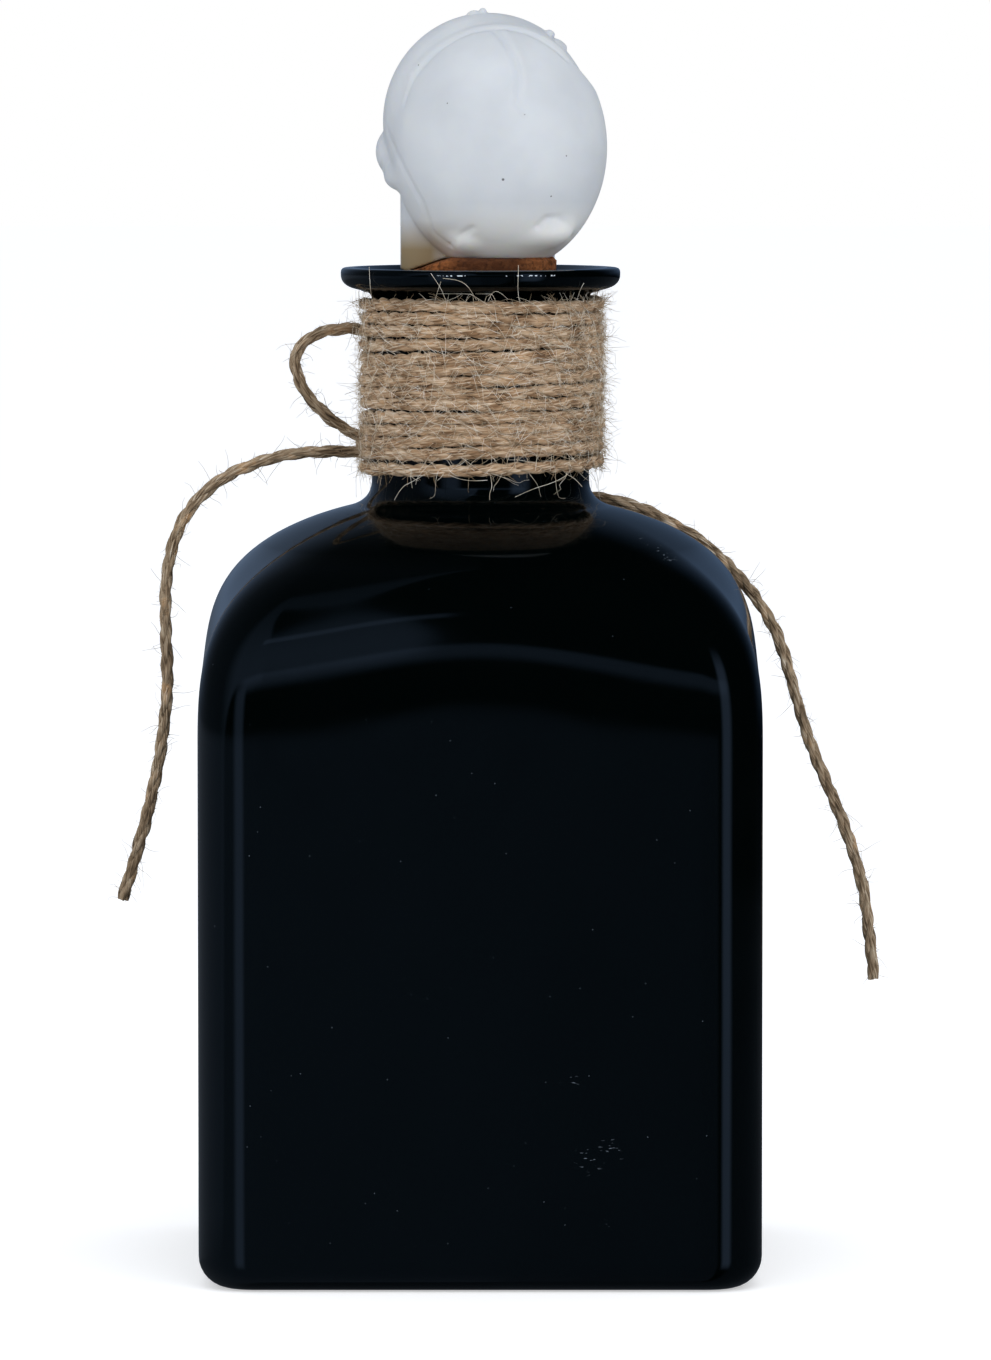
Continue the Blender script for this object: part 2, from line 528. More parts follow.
# upper jaw: an oval block with teeth, cut away round the cork
def jawDistance(points):
    x, y, z = points.T
    jawX = (x - skull["jawCentre"]) / skull["jawReach"]
    jawY = y / skull["jawWidth"]
    rim = np.sqrt(jawX ** 2 + jawY ** 2)
    slope = np.sqrt((jawX / skull["jawReach"]) ** 2 + (jawY / skull["jawWidth"]) ** 2)
    sideways = rim * (rim - 1) / np.maximum(slope, 1e-6)
    bearing = np.degrees(np.arctan2(jawY, jawX))
    gapAway = np.min(np.abs(bearing[:, None] - np.array(skull["toothGaps"])), axis=1) * skull["gapScale"]
    gaps = skull["gapDepth"] * np.exp(-(gapAway / skull["gapWidth"]) ** 2) - skull["toothSwell"]
    toothZone = np.clip((skull["toothTop"] - z) / skull["toothFade"], 0, 1)
    sideways = sideways + toothZone * (np.abs(bearing) < skull["toothArc"]) * gaps
    block = np.maximum(sideways, np.maximum(z - skull["jawTop"], -skull["jawDrop"] - z))
    across = x * turnCos - y * turnSin + skull["offset"][0]
    broken = np.maximum(0, skull["breakAt"] + skull["breakRoom"] - across)  # fills the cork's broken corner
    room = np.maximum(np.hypot(x - corkX, y - corkY) - skull["corkRoom"], z + skull["breakSlope"] * broken)
    behind = np.maximum(x - corkX, z)
    tilt = math.radians(skull["jawTilt"])
    low = (-skull["jawDrop"] - z) * math.cos(tilt) + (x - corkX) * math.sin(tilt)
    return np.maximum(np.maximum(block, -np.minimum(room, behind)), low)


def skullDistance(points):
    mirrored = points * np.array([1, -1, 1])
    near = np.where(points[:, 1:2] >= 0, points, mirrored)  # pairs are measured on one side
    solid = sharedEgg(points, braincaseShares)
    for shares in lumpShares.values():
        solid = melt(solid, sharedEgg(near, shares), shares[6])
    for centre, radii, reach in blobs:
        solid = melt(solid, eggDistance(points, centre, radii), reach)
    solid = carve(solid, np.linalg.norm(points - np.array(dent[0]), axis=1) - dent[1], dent[2])
    solid = carve(solid, points[:, 2] + skull["sink"], skull["sinkMelt"])
    solid = melt(solid, jawDistance(points), skull["jawMelt"])
    for shares in hollowShares.values():
        solid = carve(solid, sharedEgg(near, shares), shares[6])
    return solid


# a closed skin round the inside of a distance grid, one point in each cell that the surface crosses
def skinFromDistance(distance, low, high, step):
    axes = [np.arange(a, b + step, step) for a, b in zip(low, high)]
    shape = [len(axis) for axis in axes]
    field = distance(np.stack(np.meshgrid(*axes, indexing="ij"), -1).reshape(-1, 3)).reshape(shape)
    corners = [(i, j, k) for i in (0, 1) for j in (0, 1) for k in (0, 1)]
    cells = [n - 1 for n in shape]
    stack = np.stack([field[i:i + cells[0], j:j + cells[1], k:k + cells[2]] for i, j, k in corners], -1)
    inside = stack < 0
    crossed = inside.any(-1) & ~inside.all(-1)
    index = np.full(cells, -1)
    index[crossed] = np.arange(crossed.sum())
    values = stack[crossed]
    total = np.zeros((len(values), 3))
    count = np.zeros((len(values), 1))
    for a, first in enumerate(corners):
        for b, second in enumerate(corners):
            if b > a and sum(abs(p - q) for p, q in zip(first, second)) == 1:
                cut = (values[:, a] < 0) != (values[:, b] < 0)
                drop = np.where(cut, values[:, a] - values[:, b], 1)
                share = np.where(cut, values[:, a] / drop, 0)[:, None]
                total += cut[:, None] * (np.array(first) + share * (np.array(second) - np.array(first)))
                count += cut[:, None]
    points = (np.argwhere(crossed) + total / count) * step + np.array(low)
    faces = []
    for axis, (one, two) in enumerate([(1, 2), (2, 0), (0, 1)]):
        ahead = np.moveaxis(field, axis, 0)
        starts = np.argwhere(np.moveaxis((ahead[:-1] < 0) != (ahead[1:] < 0), 0, axis))
        starts = starts[(starts[:, one] > 0) & (starts[:, two] > 0)]
        starts = starts[(starts[:, one] < cells[one]) & (starts[:, two] < cells[two])]
        quads = []
        for stepOne, stepTwo in ((1, 1), (0, 1), (0, 0), (1, 0)):
            moved = starts.copy()
            moved[:, one] -= stepOne
            moved[:, two] -= stepTwo
            quads.append(index[tuple(moved.T)])
        quads = np.stack(quads, 1)
        outward = field[tuple(starts.T)] < 0
        quads[~outward] = quads[~outward][:, ::-1]
        faces.append(quads)
    return points, np.concatenate(faces)


def slopes(distance, points, reach=0.05):
    shifts = np.eye(3) * reach
    return np.stack([distance(points + s) - distance(points - s) for s in shifts], 1) / (2 * reach)


def settle(distance, points, rounds):
    for turn in range(rounds):
        slope = slopes(distance, points)
        steep = np.maximum((slope ** 2).sum(1), 0.2)
        points = points - np.clip(distance(points) / steep, -0.2, 0.2)[:, None] * slope
    return points


def lineDistance(points, line):
    nearest = np.full(len(points), 1e3)
    for start, end in zip(np.array(line), np.array(line[1:])):
        step = end - start
        share = np.clip((points - start) @ step / (step @ step), 0, 1)
        nearest = np.minimum(nearest, np.linalg.norm(points - start - share[:, None] * step, axis=1))
    return nearest


def skullSkin():
    points, faces = skinFromDistance(skullDistance, skull["gridLow"], skull["gridHigh"], skull["grid"])
    points = settle(skullDistance, points, 2)
    outward = slopes(skullDistance, points)
    outward = outward / np.maximum(np.linalg.norm(outward, axis=1, keepdims=True), 1e-6)
    push = np.zeros(len(points))
    for height, width, line in seams:
        push += height * np.exp(-(lineDistance(points, line) / width) ** 2)
    return toBottle(points + outward * push[:, None]) * mm, faces


skullMaterial = castVinyl([(toBottle(np.array(spot)), radius) for spot, radius in pinholes])
place(meshObject("skull_head", *skullSkin(), skullMaterial), "stopper", "skull_plastic", "skull")


# cork: tapered plug with a peg hole, its skin pitted and its rim crumbled inwards

cork = {"foot": 134.5, "top": 161, "footRadius": 10.95, "topRadius": 12.19, "chamfer": 0.6, "hole": 2.55,
        "holeFloor": 150.6, "around": 180, "crumb": 0.55, "pit": 0.4, "rimDepth": 2.2, "topPit": 0.35,
        "break": 0.5}


def corkPitted(spot, away, radius, height):
    rim = max(0, 1 - abs(height - cork["top"]) / cork["rimDepth"]) if radius > 9 else 0
    crumbs = max(0, noise.noise(spot / 2.1) + 0.15) * (0.35 + rim) * cork["crumb"]
    pits = max(0, noise.noise(spot / 0.9 + Vector((7, 3, 1))) - 0.25) * cork["pit"]
    spot -= away * (crumbs + pits)
    if height >= cork["top"] - 0.1:
        spot.z -= max(0, noise.noise(spot / 1.7)) * cork["topPit"]
    broken = cork["top"] - skull["breakSlope"] * max(0, skull["breakAt"] - spot.x)
    if spot.z > broken:
        spot.z = broken - max(0, noise.noise(spot / 1.1) + 0.2) * cork["break"]
    return spot


def corkSkin():
    foot, top, chamfer, hole = (cork[key] for key in ("foot", "top", "chamfer", "hole"))
    floorLevel = cork["holeFloor"]
    profile = [(hole * 0.5, foot), (7, foot), (cork["footRadius"] - chamfer, foot)]
    for share in np.linspace(0, 1, 56):
        radius = cork["footRadius"] + share * (cork["topRadius"] - cork["footRadius"])
        profile.append((radius, foot + chamfer + share * (top - foot - 2 * chamfer)))
    profile += [(cork["topRadius"] - share * chamfer, top - (1 - share) * chamfer) for share in (0.5, 1)]
    profile += [(radius, top) for radius in np.linspace(11.2, 3, 18)]
    profile += [(hole, top - 0.3), (hole, 156), (hole, floorLevel)]
    rings = [[(0, 0, foot * mm)]]
    for radius, height in profile:
        ring = []
        for angle in evenAngles(cork["around"]):
            away = Vector((math.cos(angle), math.sin(angle), 0))
            spot = away * radius + Vector((0, 0, height))
            if radius > hole + 0.1:
                spot = corkPitted(spot, away, radius, height)
            ring.append(tuple(spot * mm))
        rings.append(ring)
    return skinRings(rings + [[(0, 0, floorLevel * mm)]])


place(meshObject("cork_plug", *corkSkin(), corkMaterial), "stopper", "cork", "cork")


# glue: a flat bead squeezed out between cork and skull, its edge uneven

glue = {"hole": 2.56, "radius": 5.95, "low": 161, "high": 161.6, "around": 72,
        "profile": ((0, 0.02), (0.5, 0), (0.94, 0.02), (1, 0.5), (0.94, 0.98), (0.5, 1), (0, 0.98),
                    (0, 0.02))}


def glueSkin():
    angles = evenAngles(glue["around"])
    edge = glue["radius"] + 0.25 * np.sin(3 * angles + 0.6) + 0.15 * np.sin(7 * angles)
    hole, low, rise = glue["hole"], glue["low"], glue["high"] - glue["low"]
    return skinRings([ringOf(hole + share * (edge - hole), angles, low + height * rise)
                      for share, height in glue["profile"]])


place(meshObject("glue_bead", *glueSkin(), glueMaterial), "stopper", "glue", "glue_ring")


# peg: a beech dowel with shallow flutes and eased ends

peg = {"radius": 2.5, "low": 151, "high": 166.6, "ease": 0.4, "flutes": 12, "groove": 0.09, "around": 96}


def pegSkin():
    radius, low, high, ease = (peg[key] for key in ("radius", "low", "high", "ease"))
    angles = evenAngles(peg["around"])
    fluted = radius - peg["groove"] * (0.5 + 0.5 * np.cos(angles * peg["flutes"])) ** 3
    heights = [low + ease, *np.linspace(153, 164.6, 5), high - ease]
    levels = [(radius - ease, low)] + [(fluted, height) for height in heights] + [(radius - ease, high)]
    rings = [ringOf(reach, angles, height) for reach, height in levels]
    return skinRings([[(0, 0, low * mm)]] + rings + [[(0, 0, high * mm)]])


place(meshObject("peg_dowel", *pegSkin(), beechMaterial), "stopper_core", "peg_wood", "fixing_peg")


# twine: geometry nodes that lay plies round a path, and loose fibres on them

def newTree(name, **inputs):
    tree = bpy.data.node_groups.new(name, "GeometryNodeTree")
    beginNodes(tree)
    for side in ("INPUT", "OUTPUT"):
        tree.interface.new_socket("Geometry", in_out=side, socket_type="NodeSocketGeometry")
    for kind, labels in inputs.items():
        for label in labels:
            tree.interface.new_socket(label, in_out="INPUT", socket_type="NodeSocket" + kind)
    return add("NodeGroupInput", get=None)


def caught(geometry, value):
    node = add("GeometryNodeCaptureAttribute", geometry).node
    node.capture_items.new("FLOAT", "Value")
    work["tree"].links.new(value, node.inputs[1])
    return node.outputs[0], node.outputs[1]


def closeTree(geometry, material):
    real = add("GeometryNodeRealizeInstances", {"Geometry": geometry})
    done = add("GeometryNodeSetMaterial", {"Geometry": real, "Material": material})
    add("NodeGroupOutput", {"Geometry": done})
    return work["tree"]


plies = {"sides": 12, "ridges": 4, "ridgeDepth": 0.09, "twist": -7, "lumpSize": 4.5 * mm, "shift": 90}


def plyTree():
    given = newTree(
        "twine_plies", Int=["Plies"], Material=["Material"],
        Float=["Ply Radius", "Lay Radius", "Lay Length", "Step", "Unevenness"])
    even = add("GeometryNodeResampleCurve", {"Curve": given["Geometry"], "Length": given["Step"]},
               mode="LENGTH")
    copies = add("GeometryNodeDuplicateElements", {"Geometry": even, "Amount": given["Plies"]}, get=None,
                 domain="SPLINE")
    parameter = add("GeometryNodeSplineParameter", get=None)
    spot = add("GeometryNodeInputPosition")
    share = add("Math", copies["Duplicate Index"], given["Plies"], operation="DIVIDE")
    lays = add("Math", parameter["Length"], given["Lay Length"], operation="DIVIDE")
    angle = times(add("Math", lays, share, operation="ADD"), fullTurn)
    apart = add("VectorMath", spot, add("CombineXYZ", {"Z": share}), operation="ADD")
    lumps = add("Math", add("TexNoise", {"Vector": apart, "Scale": 1 / plies["lumpSize"], "Detail": 1},
                            get="Fac"), 0.5, operation="SUBTRACT")
    swell = add("Math", lumps, given["Unevenness"], 1.0, operation="MULTIPLY_ADD")
    reach = times(given["Lay Radius"], swell)
    normal = add("GeometryNodeInputNormal")
    side = add("VectorMath", add("GeometryNodeInputTangent"), normal, operation="CROSS_PRODUCT")
    ahead = add("VectorMath", normal, {"Scale": times(reach, add("Math", angle, operation="COSINE"))},
                operation="SCALE")
    aside = add("VectorMath", side, {"Scale": times(reach, add("Math", angle, operation="SINE"))},
                operation="SCALE")
    offset = add("VectorMath", ahead, aside, operation="ADD")
    kept, along = caught(copies[0], parameter["Length"])
    kept, which = caught(kept, share)
    kept, thick = caught(kept, swell)
    laid = add("GeometryNodeSetPosition", {"Geometry": kept, "Offset": offset})
    turned = add("GeometryNodeSetCurveTilt", {"Curve": laid, "Tilt": times(lays, plies["twist"])})
    circle = add("GeometryNodeCurvePrimitiveCircle", {"Resolution": plies["sides"],
                                                      "Radius": given["Ply Radius"]}, mode="RADIUS")
    around = times(parameter["Factor"], fullTurn)
    ridge = times(add("Math", times(around, plies["ridges"]), operation="SINE"), plies["ridgeDepth"])
    ridged = add("VectorMath", spot, {"Scale": ridge}, operation="SCALE")
    profile, bearing = caught(circle, around)
    profile = add("GeometryNodeSetPosition", {"Geometry": profile, "Offset": ridged})
    tube = add("GeometryNodeCurveToMesh", {"Curve": turned, "Profile Curve": profile, "Scale": thick,
                                           "Fill Caps": True})
    run = add("Math", along, given["Ply Radius"], operation="DIVIDE")
    run = add("Math", which, plies["shift"], run, operation="MULTIPLY_ADD")
    yarn = add("CombineXYZ", {"X": add("Math", bearing, operation="COSINE"),
                              "Y": add("Math", bearing, operation="SINE"), "Z": run})
    marked = add("GeometryNodeStoreNamedAttribute", {"Geometry": tube, "Name": "yarn", "Value": yarn},
                 data_type="FLOAT_VECTOR", domain="POINT")
    return closeTree(marked, given["Material"])


fibres = {"sides": 3, "liftFrom": 0.15, "shortest": 0.35, "lengthPower": 2.5, "curlSize": 5 * mm, "apart": 20,
          "curlPower": 1.4, "strayPower": 6, "strayReach": 1.8 * mm, "taper": 0.55}


def fibreTree():
    given = newTree(
        "loose_fibres", Int=["Points", "Seed"], Material=["Material"],
        Float=["Density", "Longest", "Lift", "Curl", "Thickness", "Root Reach", "Inner Reach", "Outer Reach",
               "Top Reach"])

    def chance(low, high, shift=0, **own):
        seed = add("Math", given["Seed"], shift, operation="ADD") if shift else given["Seed"]
        return add("FunctionNodeRandomValue", {2: low, 3: high, "Seed": seed, **own}, get=1,
                   data_type="FLOAT")

    def anyWay(**own):
        return add("FunctionNodeRandomValue", {"Min": (-1, -1, -1), "Max": (1, 1, 1), "Seed": given["Seed"],
                                               **own}, data_type="FLOAT_VECTOR")

    spot = add("GeometryNodeInputPosition")
    level = add("VectorMath", spot, (1, 1, 0), operation="MULTIPLY")
    away = add("VectorMath", level, operation="LENGTH", get="Value")
    spread = add("GeometryNodeDistributePointsOnFaces",
                 {"Mesh": given["Geometry"], "Density": given["Density"], "Seed": given["Seed"],
                  "Selection": add("Math", away, given["Root Reach"], operation="GREATER_THAN")}, get=None,
                  distribute_method="RANDOM")
    normal = spread["Normal"]
    outward = add("VectorMath", normal, {"Scale": times(chance(fibres["liftFrom"], 1, 5), given["Lift"])},
                  operation="SCALE")
    way = add("VectorMath", add("VectorMath", add("VectorMath", normal, anyWay(), operation="CROSS_PRODUCT"),
                                operation="NORMALIZE"), outward, operation="ADD")
    turned = add("FunctionNodeAlignRotationToVector", {"Vector": way}, axis="Z")
    reach = times(add("Math", chance(fibres["shortest"], 1, 9), fibres["lengthPower"], operation="POWER"),
                  given["Longest"])
    line = add("GeometryNodeCurvePrimitiveLine", {"End": (0, 0, 1)})
    line = add("GeometryNodeResampleCurve", {"Curve": line, "Count": given["Points"]})
    laid = add("GeometryNodeInstanceOnPoints", {"Points": spread["Points"], "Instance": line,
                                                "Rotation": turned, "Scale": reach})
    hairs = add("GeometryNodeRealizeInstances", {"Geometry": laid})
    parameter = add("GeometryNodeSplineParameter", get=None)
    which = add("GeometryNodeCurveOfPoint", get="Curve Index")
    where = add("VectorMath", add("VectorMath", spot, {"Scale": 1 / fibres["curlSize"]}, operation="SCALE"),
                add("VectorMath", anyWay(ID=which), {"Scale": fibres["apart"]}, operation="SCALE"),
                operation="ADD")
    swing = add("VectorMath", add("TexNoise", {"Vector": where, "Scale": 1, "Detail": 1}, get="Color"),
                (0.5, 0.5, 0.5), operation="SUBTRACT")
    grow = times(add("Math", parameter["Factor"], fibres["curlPower"], operation="POWER"),
                 times(given["Curl"], parameter["Length"]))
    rare = add("Math", chance(0, 1, ID=which), fibres["strayPower"], operation="POWER")
    most = add("Math", rare, fibres["strayReach"], given["Outer Reach"], operation="MULTIPLY_ADD")
    reined = add("Math", add("Math", away, given["Inner Reach"], operation="MAXIMUM"), most,
                 operation="MINIMUM")
    pull = add("VectorMath", level, {"Scale": add("Math", add("Math", reined, away, operation="DIVIDE"), 1,
                                                  operation="SUBTRACT")}, operation="SCALE")
    # they bend under the lip
    drop = add("Math", add("Math", given["Top Reach"], add("SeparateXYZ", spot, get="Z"),
                           operation="SUBTRACT"), 0.0, operation="MINIMUM")
    for move in (add("VectorMath", swing, {"Scale": grow}, operation="SCALE"), pull,
                 add("CombineXYZ", {"Z": drop})):
        hairs = add("GeometryNodeSetPosition", {"Geometry": hairs, "Offset": move})
    thin = add("Math", 1, times(parameter["Factor"], fibres["taper"]), operation="SUBTRACT")
    circle = add("GeometryNodeCurvePrimitiveCircle", {"Resolution": fibres["sides"],
                                                      "Radius": given["Thickness"]}, mode="RADIUS")
    tube = add("GeometryNodeCurveToMesh", {"Curve": hairs, "Profile Curve": circle, "Scale": thin,
                                           "Fill Caps": True})
    return closeTree(tube, given["Material"])


plyNodes = plyTree()
fibreNodes = fibreTree()


def grown(name, source, tree, inputs):
    modifier = source.modifiers.new("grow", "NODES")
    modifier.node_group = tree
    for item in tree.interface.items_tree:
        if item.in_out == "INPUT" and item.name in inputs:
            modifier[item.identifier] = inputs[item.name]
    source.update_tag()
    ready = source.evaluated_get(bpy.context.evaluated_depsgraph_get())
    mesh = bpy.data.meshes.new_from_object(ready)
    mesh.name = name
    mesh.polygons.foreach_set("use_smooth", [True] * len(mesh.polygons))
    source.modifiers.remove(modifier)
    return linked(name, mesh)


def curveObject(lines, kind="POLY", closed=False):
    data = bpy.data.curves.new("path", "CURVE")
    data.dimensions = "3D"
    data.resolution_u = 10
    for points in lines:
        spline = data.splines.new(kind)
        spline.points.add(len(points) - 1)
        for knob, point in zip(spline.points, points):
            knob.co = (*point, 1)
        spline.use_cyclic_u = closed
        if kind == "NURBS":
            spline.order_u = 3
            spline.use_endpoint_u = True
    return linked("path", data)


# points along a smooth line through a route, as the cords' own centre lines
def smoothLine(route):
    line = curveObject([np.array(route) * mm], "NURBS")
    points = [v.co.copy() for v in bpy.data.meshes.new_from_object(line).vertices]
    bpy.data.objects.remove(line)
    return points


twine = {"Plies": 3, "Ply Radius": 0.56 * mm, "Lay Radius": 0.45 * mm, "Lay Length": 12 * mm,
         "Step": 0.55 * mm, "Unevenness": 0.5, "Material": greyJuteMaterial}
haze = {"Density": 0.55e6, "Longest": 2.8 * mm, "Lift": 0.9, "Curl": 2.2, "Thickness": 0.034 * mm,
        "Points": 4, "Root Reach": 0.0, "Inner Reach": 0.0, "Outer Reach": 1.0, "Top Reach": 155.6 * mm,
        "Material": fibreMaterial}
outerHaze = {**haze, "Density": 1.1e6, "Longest": 3.8 * mm, "Thickness": 0.042 * mm, "Root Reach": 18.8 * mm}
strands = {**haze, "Density": 0.32e6, "Longest": 9 * mm, "Lift": 0.3, "Curl": 1.3, "Thickness": 0.044 * mm,
           "Points": 9, "Root Reach": 18.8 * mm, "Inner Reach": 19.5 * mm, "Outer Reach": 19.95 * mm,
           "Material": paleMaterial}
endFuzz = {**haze, "Density": 0.42e6, "Longest": 3.2 * mm, "Lift": 0.7, "Curl": 3.0, "Thickness": 0.042 * mm,
           "Points": 6, "Material": dullMaterial}


def twinePiece(name, lines, changes=None, closed=False):
    path = curveObject(lines, closed=closed)
    piece = grown(name, path, plyNodes, {**twine, **(changes or {})})
    bpy.data.objects.remove(path)
    return piece


def fuzzPiece(name, piece, seed, kind):
    return grown(name, piece, fibreNodes, {**kind, "Seed": seed})


# winding: fourteen turns up the neck, each a little out of true, the lowest one sagging away from the rest

winding = {"turns": 13.85, "low": 127.8, "pitch": 1.9, "radius": 18.56, "start": 145, "sag": 0.85,
           "aside": 0.2, "sagTurns": 0.4, "tilt": 0.55, "tiltFrom": 9.5, "tiltOver": 3.9, "lift": 0.15,
           "spacing": 0.7, "rises": [(0.15, 0.83, 0.4), (0.12, 2.13, 1.1), (0.09, 0.37, 2), (0.08, 5.3, 0),
                                     (0.05, 11.7, 0)],
           "bulges": [(0.1, 1.71, 0.3), (0.08, 0.53, 1.9)],  # waves: size, rate, phase
           "Ply Radius": 0.58 * mm, "Lay Radius": 0.44 * mm, "Lay Length": 9 * mm, "Step": 0.62 * mm,
           "Material": juteMaterial}


def windingPath():
    swept = np.arange(0, winding["turns"] * fullTurn, winding["spacing"] / winding["radius"])
    bearing = swept + math.radians(winding["start"])
    settled = np.clip((swept / fullTurn - winding["sagTurns"]) / winding["sagTurns"], 0, 1)
    upper = np.clip((swept / fullTurn - winding["tiltFrom"]) / winding["tiltOver"], 0, 1)
    height = winding["low"] + winding["pitch"] * swept / fullTurn
    height = height - winding["sag"] * (1 - settled ** 2 * (3 - 2 * settled))
    height = height + upper * (winding["lift"] - winding["tilt"] * np.cos(bearing))
    rises, bulges = (sum(size * np.sin(rate * swept + phase) for size, rate, phase in winding[key])
                     for key in ("rises", "bulges"))
    path = ringOf(winding["radius"] + bulges, bearing, height + rises)
    return path + np.array([winding["aside"] * mm, 0, 0])


twineWrap = twinePiece("twine_winding", [windingPath()],
                       {key: winding[key] for key in winding if key in twine})
place(twineWrap, "bottle", "jute", "twine_wrap")
place(fuzzPiece("winding_fuzz", twineWrap, 3, outerHaze), "bottle", "jute")
place(fuzzPiece("winding_strands", twineWrap, 7, strands), "bottle", "jute")


# the longest stray fibres, laid one by one: over the lip, on the winding and below it

strayRoutes = [
    [(-17.6, -14.4, 159.7), (-17.5, -14.4, 157.2), (-17.3, -14.2, 155.2), (-17, -9.4, 153.4)],
    [(6, -22.6, 160.2), (6, -22.6, 158.6), (5.9, -22.6, 156.9), (6, -21.6, 155.4), (6.2, -18.9, 154.2)],
    [(-7.8, -21.6, 158.9), (-6.5, -21.9, 157.1), (-5.5, -21, 155), (-5.3, -18.7, 153.6)],
    [(-6.2, -21.8, 157.6), (-6.8, -21.2, 155.9), (-7.3, -18, 154)],
    [(-5.9, -22, 158.1), (-4.1, -22.3, 158), (-2.5, -22.5, 157.4), (-1.5, -22.2, 156.3),
     (-0.6, -19.3, 154.6)],
    [(1.2, -19.4, 154.4), (1.6, -21.4, 155.4), (2.3, -21.8, 156.2), (3.3, -21.6, 155.8), (4.4, -19, 154.7)],
    [(16.4, -15.6, 157.2), (15.8, -15.4, 156.3), (15.3, -11.8, 154.3)],
    [(18.6, -2, 154), (20, -2, 155.3), (20.7, -2, 155.1), (21.3, -2, 154.5), (21.1, -2, 153.5),
     (20.4, -2, 153.9)],
    [(-8, -17.8, 127.6), (-8.9, -19, 127), (-10.9, -19, 125.8), (-12.5, -19, 125.1), (-13.6, -19, 123)],
    [(1.6, -19, 127), (1.7, -20.2, 126.3), (1.9, -20.2, 125.1), (1.4, -20.2, 124.1), (1.5, -20.2, 123.1)],
    [(14.6, -12.6, 128), (14, -18.6, 127), (11.4, -19.6, 125.7), (8.2, -19.6, 124.8), (5.5, -19.6, 123.5)],
    [(13, -14.4, 127.6), (13.5, -17, 127), (15.1, -17, 126.3), (16.1, -17, 125)],
    [(-5, -18.9, 127), (-3.9, -20.2, 126.5), (-1.2, -20.4, 126), (1.1, -20.2, 126.2)],
    [(-1.1, -19.6, 145.4), (-0.9, -20, 143.6), (0.4, -20, 141.8), (0.5, -19.5, 138.3)],
    [(-10.2, -16.6, 152.6), (-9.9, -17.4, 151.1), (-9.7, -16.9, 149.1)],
    [(18, -7.4, 151.1), (18.8, -7.4, 147.3), (19.1, -5.6, 144.9)],
    [(-11.5, -15.8, 139.7), (-9.4, -17.6, 137.6), (-8.4, -17.7, 135.6)],
    [(-3, -19.2, 134.8), (-1.5, -19.8, 133.6), (0, -19.4, 132.3)],
    [(19, -3, 132), (19.7, -3, 131.8), (21.3, -3, 130.8), (22.2, -3, 128.4), (21.6, -3, 126.4)],
    [(18.8, -3, 141.9), (19.4, -3, 141.7), (20.4, -3, 140.9), (20.8, -3, 138.8), (20.2, -3, 137.7)],
]
stray = {"Plies": 1, "Ply Radius": 0.026 * mm, "Lay Radius": 0.0, "Lay Length": 9 * mm, "Step": 0.4 * mm,
         "Unevenness": 0.6, "Material": paleMaterial}
place(twinePiece("stray_fibres", [smoothLine(route) for route in strayRoutes], stray), "bottle", "jute")


# knot at the side of the neck, then the bow's loop and the two ends

knot = {"bearing": 145, "radius": 21.8, "height": 130.29, "across": 0.72, "deep": 0.62, "points": 90,
        "Lay Length": 7 * mm}


def knotPath():
    turn = math.radians(knot["bearing"])
    outward = np.array([math.cos(turn), math.sin(turn), 0])
    sideways = np.array([-math.sin(turn), math.cos(turn), 0])
    centre = outward * knot["radius"] + np.array([0, 0, knot["height"]])
    points = []
    for t in np.linspace(0, fullTurn, knot["points"], endpoint=False):
        wide = (2 + math.cos(3 * t)) * knot["across"]
        points.append(centre + sideways * wide * math.cos(2 * t) + outward * knot["deep"] * math.sin(3 * t)
                      + np.array([0, 0, wide * math.sin(2 * t)]))
    return np.array(points) * mm


knotTwine = twinePiece("knot_twine", [knotPath()], {"Lay Length": knot["Lay Length"]}, closed=True)
place(knotTwine, "bottle", "jute", "twine_knot")
place(fuzzPiece("knot_fuzz", knotTwine, 11, haze), "bottle", "jute")

loopRoute = [(-18.9, 11.3, 131.3), (-22.6, 9.9, 133.4), (-26.0, 8.2, 136.2), (-28.9, 6.4, 139.9),
             (-30.2, 5.4, 144.8), (-27.8, 6.0, 147.9), (-23.6, 8.4, 149.2), (-18.0, 13.4, 149.0),
             (-15.0, 16.9, 145.0), (-15.0, 17.2, 139.5), (-16.4, 15.6, 134.6), (-17.0, 13.9, 131.5)]
leftRoute = [(-18.9, 11.2, 129.1), (-25.5, 9.4, 129.7), (-33.7, 7.4, 128.6), (-42.0, 6.0, 125.4),
             (-48.0, 5.0, 119.2), (-50.6, 4.4, 110.8), (-50.7, 4.0, 101.5), (-50.2, 3.8, 92.0),
             (-51.2, 3.5, 82.5), (-53.1, 3.2, 73.0), (-55.5, 3.0, 64.6), (-57.6, 2.9, 57.6)]
rightRoute = [(-16.8, 14.0, 129.1), (-12.0, 19.0, 126.6), (-4.0, 22.8, 124.4), (5.0, 23.2, 122.9),
              (12.6, 20.8, 122.2), (18.0, 18.0, 121.8), (22.8, 16.6, 121.0), (26.4, 16.6, 119.8),
              (29.4, 17.2, 118.2), (32.0, 17.4, 116.8), (34.8, 17.6, 115.2), (37.0, 18.4, 113.4),
              (39.2, 17.2, 111.5), (41.4, 14.2, 109.4), (43.6, 11.0, 106.9), (46.1, 9.0, 103.3),
              (48.2, 7.6, 99.4), (49.9, 6.6, 93.2), (51.7, 6.0, 86.8), (53.9, 5.6, 80.2), (56.9, 5.2, 73.6),
              (59.4, 4.9, 67.2), (61.4, 4.7, 60.8), (62.4, 4.6, 54.4), (63.4, 4.5, 44.6)]


def cordPiece(name, route, node, seed):
    line = smoothLine(route)
    piece = twinePiece(name, [line])
    hairs = fuzzPiece(name + "_fuzz", piece, seed, endFuzz)
    place(piece, "bottle", "jute", node)
    place(hairs, "bottle", "jute")


